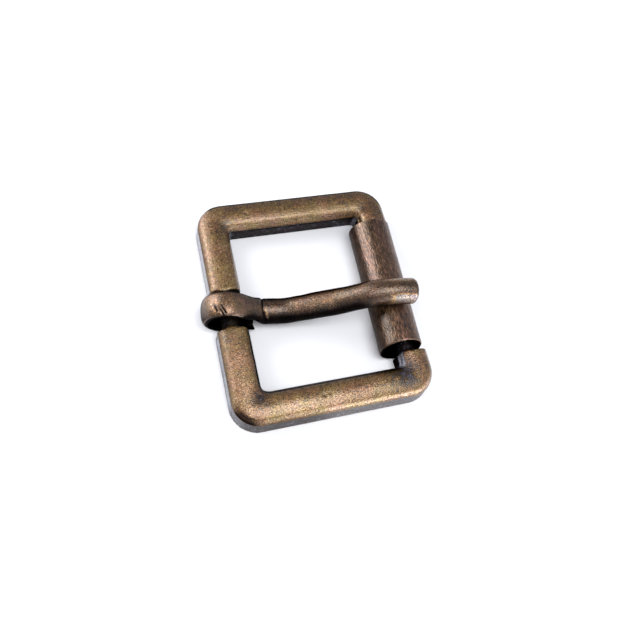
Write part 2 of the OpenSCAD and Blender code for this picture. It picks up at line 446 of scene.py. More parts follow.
# in each: the size in mm of every noise, the share that four of them have in the blotches, colours from
# the blackest film to the barest metal, and depths of the bumps in mm
castPlate = antiquePlate("antique brass on cast zinc", {
    "stretch": (1, 1, 1),
    "sizes": {"wide": 3.5, "middle": 1.2, "small": 0.4, "tiny": 0.18, "hue": 2.6, "grain": 0.16,
              "speck": 0.26, "fine": 0.2, "wave": 0.9},
    "blotches": {"wide": 0.4, "middle": 0.35, "small": 0.55, "tiny": 0.5},
    "filmBlotches": 0.07, "grain": 0.9,
    # a thin film is a pale grey, between the black of a thick one and the brown of brass; the pale grey at
    # 0.10 also paints the floor's reflection on the heel's wall and a highlight on the stub
    "colours": [(0.0, "#17171b"), (0.06, "#2c2d33"), (0.10, "#b4b6c2"), (0.13, "#868896"),
                (0.18, "#494550"), (0.26, "#443429"), (0.5, "#806036"), (1.0, "#b29780")],
    "olive": "#f0f4c6",
    "roughness": 0.5, "fineDepth": 0.055, "waveDepth": 0.025,
    "filmLacquer": 0.2, "lacquer": 1.0, "lacquerRoughness": 0.27, "edgeTint": "#ffffff"})
sheetPlate = antiquePlate("antique brass on rolled sheet", {
    "stretch": (1, 0.2, 1),          # tumbling left longer marks along the roller
    "sizes": {"wide": 2.5, "middle": 1.0, "small": 0.35, "tiny": 0.16, "hue": 2.0, "grain": 0.12,
              "speck": 0.22, "fine": 0.2, "wave": 0.7},
    "blotches": {"wide": 0.3, "middle": 0.3, "small": 0.5, "tiny": 0.7},
    "filmBlotches": 0.5, "grain": 1.0,
    "colours": [(0.0, "#140e0e"), (0.2, "#38291f"), (0.5, "#664c3a"), (1.0, "#a08478")],
    "olive": "#f4f2d8",
    "roughness": 0.42, "fineDepth": 0.06, "waveDepth": 0.03,
    "filmLacquer": 0.0, "lacquer": 0.7, "lacquerRoughness": 0.22, "edgeTint": "#c0c0c0"})
rodPlate = antiquePlate("antique brass on bent rod", {
    "stretch": (1, 1, 1),
    "sizes": {"wide": 3.0, "middle": 1.2, "small": 0.4, "tiny": 0.18, "hue": 2.4, "grain": 0.15,
              "speck": 0.24, "fine": 0.2, "wave": 0.8},
    "blotches": {"wide": 0.35, "middle": 0.3, "small": 0.35, "tiny": 0.5},
    "filmBlotches": 0.4, "grain": 0.95,
    # rubbed right through, the steel shows grey; beside the tip this grey is also a painted reflection of
    # the floor
    "colours": [(0.0, "#0e0c0c"), (0.18, "#221a17"), (0.5, "#6a4e32"), (0.78, "#a68054"), (0.95, "#7a7179")],
    "olive": "#f4f2d0",
    "roughness": 0.44, "fineDepth": 0.05, "waveDepth": 0.03,
    "filmLacquer": 0.0, "lacquer": 1.0, "lacquerRoughness": 0.25, "edgeTint": "#c0c0c0"})
print("materials made")


# frame: one section swept round two open C paths, with the neck and the roller's bar between them
casting = {
    # mm, as the solid, and edgeTurn in degrees
    "barWidth": 4.5, "draft": 0.25, "cornerRadius": 4.0,
    "crownRadius": 4.0, "edgeRadius": 1.5, "edgeTurn": 15, "crownTurn": 1.4,
    "neckLength": 5.8, "neckDiameter": 2.4, "neckHeight": 2.8,
    "seatLow": -10.4, "seatHigh": 10.0, "spindleDiameter": 2.6, "spindleBack": 3.075, "spindleHeight": 2.46,
    "root": 0.5,            # how far the thin bars run into the shoulders
    "crownSteps": 8, "edgeSteps": 10, "cornerSteps": 14, "thinBarSides": 48,
    # the fill at the window's corners: its width, its straight ends, how often it is evened, and the
    # radius of each corner, at the heel (-1) or front (1) and on the -Y (-1) or +Y (1) side
    "rimWidth": 0.9, "rimLead": 0.25, "rimRounds": 14,
    "windowCorners": {(-1, 1): 0.45, (-1, -1): 1.2, (1, 1): 0.6, (1, -1): 0.6},
    "voxel": 0.142, "softening": 0.5, "softRounds": 3,     # the remeshed skin
    "shoulderRound": 0.8,   # the outer corner of the shoulders beside the roller, seen from above
    # the far shoulder at the neck leans towards the prong on the window's side
    "shoulderSkew": 0.3, "skewReach": 1.6, "skewCurve": 1.5,
    "faceSlack": 0.2, "sideSlack": 0.1,     # how far off a face its points are still taken along
    # the die's parting line stands out round the window, less where the wall looks to the front
    "lipHeight": 2.82, "lipWide": 0.22, "lipThick": 0.18, "leastFlat": 0.3,
    "uneven": 0.025, "unevenSize": 2.2, "unevenSeed": 5, "sunk": 0.02,
    # small dents left by the die and by tumbling, only above dentsFrom: place x, y, radius, depth, mm
    "dentsFrom": 2,
    "dents": [
        (-6.13, 14.48, 0.22, 0.12),
        (-8.22, -14.07, 0.20, 0.12),
        (-1.11, -14.48, 0.30, 0.08),
        (-0.35, -14.30, 0.22, 0.07),
        (-8.03, -3.89, 0.18, 0.06),
        (14.28, 10.75, 0.25, 0.15),
    ],
    # patches where the film stayed: place x, y on the crown, radius mm, share of the film that is left
    "patches": [
        (11.0, -13.8, 2.0, 0.85),
        (10.0, -14.6, 0.9, 0.3),
        (11.4, -11.7, 0.9, 0.4),
        (-9.7, -13.2, 1.2, 0.6),
        (-10.4, 11.6, 1.2, 0.35),
        (12.6, 13.0, 1.3, 0.42),
        (-2.6, -14.9, 1.0, 0.2),
    ],
    "patchUp": 0.3, "patchUneven": 0.6, "patchGrain": 0.5, "patchSeed": 9,
    "patchFilm": 0.145, "filmSwing": 0.02, "filmGrain": 0.3, "filmSeed": 8,
    # how far the plating is rubbed: 0.1 pale film, 0.2 dark, 0.5 brown, 1 bright
    "wallRub": 0.2, "wallTopRub": 0.22, "leastWallRub": 0.1, "crownRub": 0.5, "stubHighlight": 0.1,
    "neckRub": 0.25, "seatRub": 0.2, "bandShadeRub": 0.34,
    "neckShade": 0.75, "seatShade": 1.0, "bandShade": 0.55, "edgeDarkening": 0.5, "lineShade": 0.15,
    "neckInset": 0.15, "seatInset": 0.1,
    "ridgeGain": 3.0, "ridgeRounds": 12, "ridgeLimits": (-0.2, 0.3), "ridgeFrom": 0.1,
    "brightAt": -4, "brightReach": 6,       # where along X the near bar's painted highlight is strongest
    "lipWithin": 0.45, "lipTurn": -0.25,    # where the lip faces the near side, -Y
    "highlightTurn": -0.3, "stubTurn": -0.3,
    "lipShadow": 0.4, "shadowBelow": 0.4, "shadowReach": 0.25,
    # part of up at which rubbing and darkening begin and are full inside the window, and where film is kept;
    # the darkening is soot and painted shade
    "innerRub": (0.4, 0.78), "innerRubKept": (0.1, 0.43),
    "innerDarkening": (0.8, 0.5), "innerDarkeningKept": (0.45, 0.15),
    "evenRounds": 2,
    # masks: what each is worth where it is full, and its ramps, made of what frameMeasures gives
    "masks": {
        "fillSoftened": (1, [("fromCorner", 2.4, 1.2), ("z", 2.6, 3.1)]),
        "lipBand": (1, [("inner", 0.45, 0.2), ("inner", -0.9, -0.5)]),
        "lipEnds": (1, [("fromNeck", 0.2, 0.6)]),
        "lipToFront": (0.7, [("toX", 0.3, 0.9)]),
        "crownUneven": (1, [("z", 1.0, 3.0)]),
        "farSide": (1, [("turnedAway", 0.05, 0.3)]),
        "heelKept": (1, [("toX", 0.2, 0.7), ("y", -7, 3)]),
        "outerRub": (1, [("up", 0.13, 0.32)]),
        "farRub": (1, [("up", 0.6, 0.85)]),
        "heelSide": (1, [("toX", -0.3, -0.95)]),
        "heelShading": (0.07, []),
        "heelFarShading": (0.1, [("y", -8, 6)]),
        "wallTop": (1, [("z", 0.8, 2.8)]),
        "fillFilm": (0.14, [("fromCorner", 2.4, 0.4), ("pastCorner", 1.0, 0.0)]),
        "onEndBar": (1, [("endwards", -0.6, 0.6)]),
        "shadedCrown": (0.1, [("inner", 2.2, 3.4), ("up", 0.25, 0.5)]),
        "nearCrownHighlight": (0.16, [("toY", 0.3, -0.1), ("toY", -0.9, -0.5), ("inner", 1.6, 2.4)]),
        "nearEdgeHighlight": (0.3, [("up", 0.45, 0.6), ("up", 0.92, 0.78), ("toY", -0.2, -0.4), ("x", -4, 3)]),
        "farInnerEdgeHighlight": (0.22, [("up", 0.85, 0.6), ("up", 0.2, 0.4)]),
        "lipTopHighlight": (0.4, [("overLip", 0.02, 0.12), ("up", 0.7, 0.5)]),
        "stubEdgeHighlight": (1, [("up", 0.3, 0.45), ("up", 0.85, 0.7)]),
        "toLight": (0.3, [("toY", -0.2, -0.8)]),
        "toFront": (0.7, [("toX", 0.5, 0.9)]),
        "underLip": (1, [("overLip", 0, -0.15)]),
        "offWall": (1, [("up", 0.1, 0.3)]),
        "farDarkening": (1, [("up", 0.96, 0.8)]),
        "nearLine": (1, [("up", 0.72, 0.4), ("up", 0.12, 0.25)]),
        "lineToHeel": (0.5, [("x", 4, -9)]),
        "nearWall": (0.4, [("toY", -0.5, -0.95), ("x", 2, -4), ("up", 0.3, 0.15)]),
        "cornerBand": (1, [("up", 0.96, 0.82), ("up", 0.13, 0.25),
                           ("fromSide", 1.0, 2.4), ("fromEnd", 1.0, 2.4)]),
    },
}


def barSection(size):
    # half across the crown, from its middle down to the wall, then mirrored; u across the bar, z up
    half = (size["barWidth"] - size["draft"]) / 2
    height = frameHigh[2]
    edgeU = half - size["edgeRadius"] * cos(radians(size["edgeTurn"]))
    turnU = size["crownTurn"]
    turnZ = height - size["crownRadius"] + sqrt(size["crownRadius"] ** 2 - turnU ** 2)
    edgeZ = turnZ - sqrt(size["edgeRadius"] ** 2 - (turnU - edgeU) ** 2)
    side = []
    for k in range(size["crownSteps"]):
        u = turnU * k / size["crownSteps"]
        side.append((u, height - size["crownRadius"] + sqrt(size["crownRadius"] ** 2 - u ** 2)))
    top = atan2(turnZ - edgeZ, turnU - edgeU)
    low = radians(size["edgeTurn"])
    for k in range(size["edgeSteps"] + 1):
        a = top + (low - top) * k / size["edgeSteps"]
        side.append((edgeU + size["edgeRadius"] * cos(a), edgeZ + size["edgeRadius"] * sin(a)))
    side.append((half, edgeZ))
    shift = -size["draft"] / 2
    outer = [(u + shift, z) for u, z in side] + [(size["barWidth"] / 2, 0)]
    inner = [(shift - u, z) for u, z in side] + [(-size["barWidth"] / 2, 0)]
    return outer + inner[:0:-1]


def rimSection(size):
    # the part of the section next to the window, as wide as the corner fill, from its own path
    edge = size["rimWidth"] - size["barWidth"] / 2
    kept = [(u - edge, z) for u, z in barSection(size) if u < edge]
    return [(0, 0), *reversed(kept), (0, kept[0][1])]


def roundedRun(corners, radius, steps):
    # a path through the corners, each turned on an arc
    run = [corners[0]]
    for before, at, after in zip(corners, corners[1:], corners[2:]):
        before, at, after = (np.array(p, float) for p in (before, at, after))
        into = (at - before) / np.linalg.norm(at - before)
        out = (after - at) / np.linalg.norm(after - at)
        centre = at - into * radius + out * radius
        for k in range(steps + 1):
            a = pi / 2 * k / steps
            run.append(tuple(centre - out * radius * cos(a) + into * radius * sin(a)))
    return run + [corners[-1]]


def sweepTree(sides):
    # Geometry Nodes: sweeps one section along the object's own curves and one along the corners' rims,
    # and adds the two thin round bars
    tree = bpy.data.node_groups.new("swept bars", "GeometryNodeTree")
    face = tree.interface
    face.new_socket("Geometry", in_out="INPUT", socket_type="NodeSocketGeometry")
    names = {}
    for name, kind in (("Section", "NodeSocketObject"), ("Rims", "NodeSocketObject"),
                       ("Rim Section", "NodeSocketObject"), ("Neck Radius", "NodeSocketFloat"),
                       ("Neck Start", "NodeSocketVector"), ("Neck End", "NodeSocketVector"),
                       ("Spindle Radius", "NodeSocketFloat"), ("Spindle Start", "NodeSocketVector"),
                       ("Spindle End", "NodeSocketVector"), ("Material", "NodeSocketMaterial")):
        names[name] = face.new_socket(name, in_out="INPUT", socket_type=kind).identifier
    face.new_socket("Geometry", in_out="OUTPUT", socket_type="NodeSocketGeometry")
    given = addNode(tree, "NodeGroupInput").outputs
    rims = addNode(tree, "GeometryNodeObjectInfo", {"Object": given["Rims"]}, transform_space="ORIGINAL")
    parts = []
    for line, profile in ((given["Geometry"], "Section"), (rims.outputs["Geometry"], "Rim Section")):
        section = addNode(tree, "GeometryNodeObjectInfo", {
            "Object": given[profile]}, transform_space="ORIGINAL")
        upright = addNode(tree, "GeometryNodeSetCurveNormal", {"Curve": line}, mode="Z_UP")
        swept = addNode(tree, "GeometryNodeCurveToMesh", {
            "Curve": upright.outputs["Curve"], "Profile Curve": section.outputs["Geometry"],
            "Fill Caps": True})
        parts.append(swept.outputs["Mesh"])
    for name in ("Neck", "Spindle"):
        line = addNode(tree, "GeometryNodeCurvePrimitiveLine", {
            "Start": given[name + " Start"], "End": given[name + " End"]})
        ring = addNode(tree, "GeometryNodeCurvePrimitiveCircle", {
            "Resolution": sides, "Radius": given[name + " Radius"]})
        bar = addNode(tree, "GeometryNodeCurveToMesh", {
            "Curve": line.outputs["Curve"], "Profile Curve": ring.outputs["Curve"], "Fill Caps": True})
        parts.append(bar.outputs["Mesh"])
    joined = addNode(tree, "GeometryNodeJoinGeometry")
    for part in parts:
        tree.links.new(part, joined.inputs["Geometry"])
    real = addNode(tree, "GeometryNodeRealizeInstances", {"Geometry": joined.outputs["Geometry"]})
    painted = addNode(tree, "GeometryNodeSetMaterial", {
        "Geometry": real.outputs["Geometry"], "Material": given["Material"]})
    addNode(tree, "NodeGroupOutput", {"Geometry": painted.outputs["Geometry"]})
    return tree, names


def asMesh(source, name):
    # what the modifiers make, as a plain mesh object of its own
    bpy.context.view_layer.update()
    seen = source.evaluated_get(bpy.context.evaluated_depsgraph_get())
    mesh = bpy.data.meshes.new_from_object(seen)
    mesh.name = name
    bpy.data.objects.remove(source)
    return newObject(name, mesh)


def sweepFrame(size):
    # the bars, the fill in the window's corners, the neck and the roller's bar, under one remeshed skin
    halfX = (frameHigh[0] - frameLow[0] - size["barWidth"]) / 2
    halfY = (frameHigh[1] - frameLow[1] - size["barWidth"]) / 2
    heel, front = frameMiddle - halfX, frameMiddle + halfX
    radius = size["cornerRadius"] - size["barWidth"] / 2
    neck = size["neckLength"] / 2
    steps = size["cornerSteps"]
    lower = [(heel, -neck, 0), (heel, -halfY, 0), (front, -halfY, 0), (front, size["seatLow"], 0)]
    upper = [(front, size["seatHigh"], 0), (front, halfY, 0), (heel, halfY, 0), (heel, neck, 0)]
    path = polyCurve("framePath", [roundedRun(corners, radius, steps) for corners in (lower, upper)])
    fills = []
    for (sideX, sideY), rounding in size["windowCorners"].items():
        corner = np.array([frameMiddle + sideX * (halfX - size["barWidth"] / 2 + size["rimWidth"]),
                           sideY * (halfY - size["barWidth"] / 2 + size["rimWidth"])])
        lead = rounding + size["rimWidth"] + size["rimLead"]
        ends = [corner - (sideX * lead, 0), corner - (0, sideY * lead)]
        first, last = ends if sideX * sideY < 0 else ends[::-1]
        corners = [(*first, 0), (*corner, 0), (*last, 0)]
        fills.append(roundedRun(corners, rounding + size["rimWidth"], steps))
    rims = polyCurve("frameRims", fills)
    section = polyCurve("frameSection", [[(u, -z, 0) for u, z in barSection(size)]], closed=True)
    rimShape = polyCurve("frameRimSection", [[(u, -z, 0) for u, z in rimSection(size)]], closed=True)
    tree, names = sweepTree(size["thinBarSides"])
    sweep = path.modifiers.new("sweep", "NODES")
    sweep.node_group = tree
    spindleX = frameHigh[0] - size["spindleBack"]
    reach = neck + size["root"]
    for name, value in (
            ("Section", section), ("Rims", rims), ("Rim Section", rimShape),
            ("Neck Radius", size["neckDiameter"] / 2),
            ("Neck Start", (heel, -reach, size["neckHeight"])),
            ("Neck End", (heel, reach, size["neckHeight"])),
            ("Spindle Radius", size["spindleDiameter"] / 2),
            ("Spindle Start", (spindleX, size["seatLow"] - size["root"], size["spindleHeight"])),
            ("Spindle End", (spindleX, size["seatHigh"] + size["root"], size["spindleHeight"])),
            ("Material", castPlate)):
        sweep[names[name]] = value
    rough = asMesh(path, "castFrame")
    for source in (section, rims, rimShape):
        bpy.data.objects.remove(source)
    remesh = rough.modifiers.new("remesh", "REMESH")
    remesh.mode = "VOXEL"
    remesh.voxel_size = size["voxel"]
    soften = rough.modifiers.new("soften", "SMOOTH")
    soften.factor = size["softening"]
    soften.iterations = size["softRounds"]
    return asMesh(rough, "castFrame")


def frameMeasures(points, normals):
    # what the frame's masks are made of: places in mm, and the parts of each normal
    size = casting
    x, y, z = points.T
    toX, toY, up = normals.T
    fromSide = np.abs(x - frameMiddle) - (frameHigh[0] - frameLow[0]) / 2 + size["barWidth"]
    fromEnd = np.abs(y) - frameHigh[1] + size["barWidth"]
    towardsX = 0.1           # a wall that looks to +X counts as turned away this little
    return {
        "x": x, "y": y, "z": z, "toX": toX, "toY": toY, "up": up,
        "fromSide": fromSide, "fromEnd": fromEnd,
        "inner": np.maximum(fromSide, fromEnd),       # 0 on the window's walls
        "endwards": fromEnd - fromSide,
        "fromCorner": np.hypot(fromSide, fromEnd),
        "pastCorner": np.hypot(np.minimum(fromSide, 0), np.minimum(fromEnd, 0)),
        "fromNeck": np.abs(y) - size["neckLength"] / 2,
        "overLip": z - size["lipHeight"],
        "turnedAway": toY + np.minimum(toX, towardsX * toX),
    }


def frameShares(points, normals):
    measures = frameMeasures(points, normals)
    return measures, maskShares(casting["masks"], measures)


def roundShoulders(points):
    # the corners beside the roller are rounded, and the far shoulder at the neck leans over it
    size = casting
    radius, slack = size["shoulderRound"], size["faceSlack"]
    for face, side in ((size["seatLow"], -1), (size["seatHigh"], 1)):
        centre = np.array([frameHigh[0] - radius, face + side * radius])
        away = points[:, :2] - centre
        reach = np.hypot(*away.T)
        beside = (away[:, 1] * side < 0) & (away[:, 1] * side > -radius - slack)
        corner = (away[:, 0] > 0) & beside & (reach > radius)
        points[corner, :2] = centre + away[corner] * (radius / reach[corner])[:, None]
    heel = frameLow[0] + size["barWidth"] / 2
    face = size["neckLength"] / 2
    near = smoothRise(face + size["skewReach"], face, points[:, 1])
    across = np.clip((points[:, 0] - heel) / size["barWidth"] + 0.5, 0, 1)
    onHeel = np.abs(points[:, 0] - heel) < size["barWidth"] / 2 + size["sideSlack"]
    shoulder = onHeel & (points[:, 1] > face - slack)
    points[:, 1] -= np.where(shoulder, size["shoulderSkew"] * across ** size["skewCurve"] * near, 0)


def shapeFrame(mesh):
    # shoulders, dents, corner fills, the lip round the window and a slightly uneven crown
    size = casting
    points, normals = readMesh(mesh)
    roundShoulders(points)
    for x, y, radius, depth in size["dents"]:
        pressed = depth * bell(np.hypot(points[:, 0] - x, points[:, 1] - y), radius)
        points[:, 2] -= np.where(points[:, 2] > size["dentsFrom"], pressed, 0)
    # the fill in the window's corners runs smoothly into the crown
    before = frameShares(points, normals)[1]
    points = evened(points, meshLinks(mesh), size["rimRounds"], before["fillSoftened"])
    # a thin lip under the crown's edge, all round the window
    measures, shares = frameShares(points, normals)
    lip = size["lipWide"] * bell(measures["overLip"], size["lipThick"])
    lip *= before["lipBand"] * shares["lipEnds"] * (1 - shares["lipToFront"])
    slack = size["faceSlack"]
    onSeat = (points[:, 1] > size["seatLow"] - slack) & (points[:, 1] < size["seatHigh"] + slack)
    onSeat &= points[:, 0] > frameMiddle
    flat = np.maximum(np.linalg.norm(normals[:, :2], axis=1), size["leastFlat"])
    points[:, :2] += np.where(onSeat, 0, lip)[:, None] * normals[:, :2] / flat[:, None]
    uneven = size["uneven"] * cloudNoise(points, size["unevenSize"], size["unevenSeed"])
    points[:, 2] += shares["crownUneven"] * (uneven - size["sunk"])
    writePoints(mesh, points)


def wearFrame(mesh):
    # how far the plating is rubbed, with painted highlights on some crowns and edges, and where soot and
    # painted shade lie:
    # crowns brown to bright, outer walls grey, inner walls and roots black
    size = casting
    points, normals = readMesh(mesh)
    links = meshLinks(mesh)
    measures, shares = frameShares(points, normals)
    x, y, up, inner = (measures[name] for name in ("x", "y", "up", "inner"))
    atNear, atFar, atHeel, atFront = y < 0, y > 0, x < frameMiddle, x > frameMiddle
    alongX = measures["fromEnd"] > 0
    outward = inner > size["barWidth"] / 2
    # rubbing reaches down to the walls on the near sides, less far into the window, least on the far sides
    far = outward * shares["farSide"]
    near = outward * (1 - far)
    kept = shares["heelKept"] * atHeel
    reach = smoothRise(*blended(size["innerRub"], size["innerRubKept"], kept), up)
    reach = np.where(outward, shares["outerRub"], reach)
    reach += (shares["farRub"] - reach) * far
    # outer walls: paler on the heel's side, a painted reflection of the white floor
    toHeel = shares["heelSide"]
    low = size["wallRub"] - toHeel * (shares["heelShading"] + shares["heelFarShading"])
    low = np.maximum(low, size["leastWallRub"])
    wall = low + (size["wallTopRub"] - low) * shares["wallTop"] * (1 - toHeel)
    wall = np.where(outward, wall, size["wallRub"])
    worn = wall + (size["crownRub"] - wall) * reach
    standing = size["ridgeGain"] * ridges(points, normals, links, size["ridgeRounds"])
    worn += np.where(inner < size["ridgeFrom"], 0, np.clip(standing, *size["ridgeLimits"]))
    # the film stays in the window's corners
    worn -= shares["fillFilm"]
    # the outer halves of the far and the front bar's crowns are darker, painted shade
    onEnd = shares["onEndBar"]
    worn -= (onEnd * atFar + (1 - onEnd) * atFront) * shares["shadedCrown"]
    # the near bar's crown is brighter beside the heel, a painted highlight
    worn += shares["nearCrownHighlight"] * alongX * atNear * bell(x - size["brightAt"], size["brightReach"])
    # and in a few patches on the crowns
    film = size["patchFilm"] + size["filmSwing"] * cloudNoise(points, size["filmGrain"], size["filmSeed"])
    uneven = 1 + size["patchUneven"] * cloudNoise(points, size["patchGrain"], size["patchSeed"])
    for patchX, patchY, radius, left in size["patches"]:
        cover = left * uneven * bell(np.hypot(x - patchX, y - patchY), radius)
        worn += np.where(up > size["patchUp"], (film - worn) * np.clip(cover, 0, 1), 0)
    # the near bar's outer edge is brighter towards the front, and the far bar's along the window: painted
    # highlights
    worn += shares["nearEdgeHighlight"] * outward * atNear
    worn += shares["farInnerEdgeHighlight"] * ((measures["toY"] < size["highlightTurn"]) & alongX & atFar)
    # the lip is rubbed on top where it faces the near side, and painted brighter there as a highlight
    facing = (inner < size["lipWithin"]) & (measures["toY"] < size["lipTurn"])
    worn += np.where(facing, shares["lipTopHighlight"], 0)
    # a pale edge on the stub beside the roller's near end, a painted highlight
    stub = (measures["toX"] < size["stubTurn"]) & atFront & atNear & ~outward
    worn += np.where(stub, (size["stubHighlight"] - worn) * shares["stubEdgeHighlight"], 0)
    # neither the neck nor the roller's bar was ever rubbed, and both are darkened as painted shade, under
    # the loop and inside the roller
    neck = (measures["fromNeck"] < -size["neckInset"]) & atHeel
    seat = (y > size["seatLow"] + size["seatInset"]) & (y < size["seatHigh"] - size["seatInset"]) & atFront
    worn = np.where(seat, size["seatRub"], np.where(neck, size["neckRub"], worn))
    # soot and painted shade lie inside the window, the shade least where its walls face the light; the far
    # edges are darkened, and a painted shadow lies under the lip
    inside = smoothRise(*blended(size["innerDarkening"], size["innerDarkeningKept"], kept), up)
    inside *= (1 - shares["toLight"]) * np.where(facing, shares["underLip"], 1)
    onEdge = size["edgeDarkening"] + (1 - size["edgeDarkening"]) * shares["offWall"]
    sootAndShade = np.where(outward, far * shares["farDarkening"] * onEdge * (1 - shares["toFront"]), inside)
    shadow = bell(measures["overLip"] + size["shadowBelow"], size["shadowReach"])
    sootAndShade += np.where(facing, size["lipShadow"] * shadow, 0)
    # painted shade: a dark line where the near crowns meet the walls, and more of it towards the heel's end
    # of the near bar; the near walls are also darkened towards the heel
    sootAndShade += near * shares["nearLine"] * (size["lineShade"] + shares["lineToHeel"])
    sootAndShade += near * shares["nearWall"]
    sootAndShade = np.where(seat, size["seatShade"], np.where(neck, size["neckShade"], sootAndShade))
    # and painted shade, a dark band round the outer corner beside the heel
    band = shares["cornerBand"] * (atHeel & atNear)
    worn -= size["bandShadeRub"] * band
    sootAndShade += size["bandShade"] * band
    writeMask(mesh, "rubbed", evened(worn, links, size["evenRounds"]))
    writeMask(mesh, "sootyAndShaded", evened(sootAndShade, links, size["evenRounds"]))


def makeFrame():
    piece = sweepFrame(casting)
    shapeFrame(piece.data)
    wearFrame(piece.data)
    printBox("frame", piece.data, "frame")
    finishPiece(piece, "frame", "frame", castPlate)


makeFrame()


# roller: a sheet rolled into a tube, with its butt seam underneath
sheet = {
    "diameter": 6.15, "wall": 0.45, "length": 19.6,      # mm, as the solid
    "seamGap": 0.12, "rimRounding": 0.14, "rimSteps": 4,
    "askewTop": 0.27, "askewLow": -0.38, "askewReach": 2.0,   # the -Y end was cut askew, shorter on top
    "around": 150, "along": 150,
    "uneven": 0.004, "unevenSize": 2.5, "unevenSeed": 11,     # uneven is a share of the radius
    "skin": (0.25, 0.1),                # mm under the outer face where the inside ends and the face begins
    "rubbed": 0.44, "insideRub": 0.02,
    # the side that faces the heel is darkened as painted shade, and the rims are rubbed bright
    "heelShading": 0.25, "heelSide": (-0.72, -0.92),
    "rimRub": 0.12, "rimReach": (0.3, 0.1),
}


def tubeOutline(size):
    # the sheet's section, once round: radius, and place along the roller
    outer, inner = size["diameter"] / 2, size["diameter"] / 2 - size["wall"]
    r, end = size["rimRounding"], size["length"] / 2
    rim = [pi / 2 * k / size["rimSteps"] for k in range(size["rimSteps"] + 1)]
    runs = np.linspace(r - end, end - r, size["along"])
    outline = [(outer, y) for y in runs[:-1]]
    outline += [(outer - r + r * cos(a), end - r + r * sin(a)) for a in rim]
    outline += [(inner + r - r * sin(a), end - r + r * cos(a)) for a in rim]
    outline += [(inner, y) for y in runs[::-1][1:-1]]
    outline += [(inner + r - r * cos(a), r - end - r * sin(a)) for a in rim]
    outline += [(outer - r + r * sin(a), r - end - r * cos(a)) for a in rim][:-1]
    return outline


def makeRoller():
    size = sheet
    spin = joints["roller_spin"]
    outer, halfLength = size["diameter"] / 2, size["length"] / 2
    gap = size["seamGap"] / outer
    outline = tubeOutline(size)
    rings = []
    for k in range(size["around"] + 1):
        a = -pi / 2 + gap / 2 + (2 * pi - gap) * k / size["around"]
        rings.append([(rad * cos(a), y, rad * sin(a)) for rad, y in outline])
    piece = loft("rolledRoller", rings)
    points = readMesh(piece.data)[0]
    reach = np.hypot(points[:, 0], points[:, 2])
    height = points[:, 2] / reach
    outward = smoothRise(*(outer - depth for depth in size["skin"]), reach)
    rim = smoothRise(*size["rimReach"], halfLength - np.abs(points[:, 1]))
    dark = smoothRise(*size["heelSide"], points[:, 0] / reach)
    rubbed = size["rubbed"] - size["heelShading"] * dark + size["rimRub"] * rim
    # inside the tube it is black: dark film and painted shade
    rubbed = rubbed * outward + size["insideRub"] * (1 - outward)
    nearEnd = smoothRise(size["askewReach"] - halfLength, -halfLength, points[:, 1])
    points[:, 1] += nearEnd * height * np.where(height > 0, size["askewTop"], -size["askewLow"])
    uneven = size["uneven"] * cloudNoise(points, size["unevenSize"], size["unevenSeed"])
    points *= (1 + uneven * outward)[:, None]
    writePoints(piece.data, points)
    writeMask(piece.data, "rubbed", rubbed)
    writeMask(piece.data, "sootyAndShaded", 1 - outward)
    turn = atan2(-spin["axis"][0], spin["axis"][1])
    place = Matrix.Translation(Vector(spin["pos_m"]) / mm) @ Matrix.Rotation(turn, 4, "Z")
    piece.data.transform(place)
    printBox("roller", piece.data, "roller")
    finishPiece(piece, "roller", "roller", sheetPlate)


makeRoller()


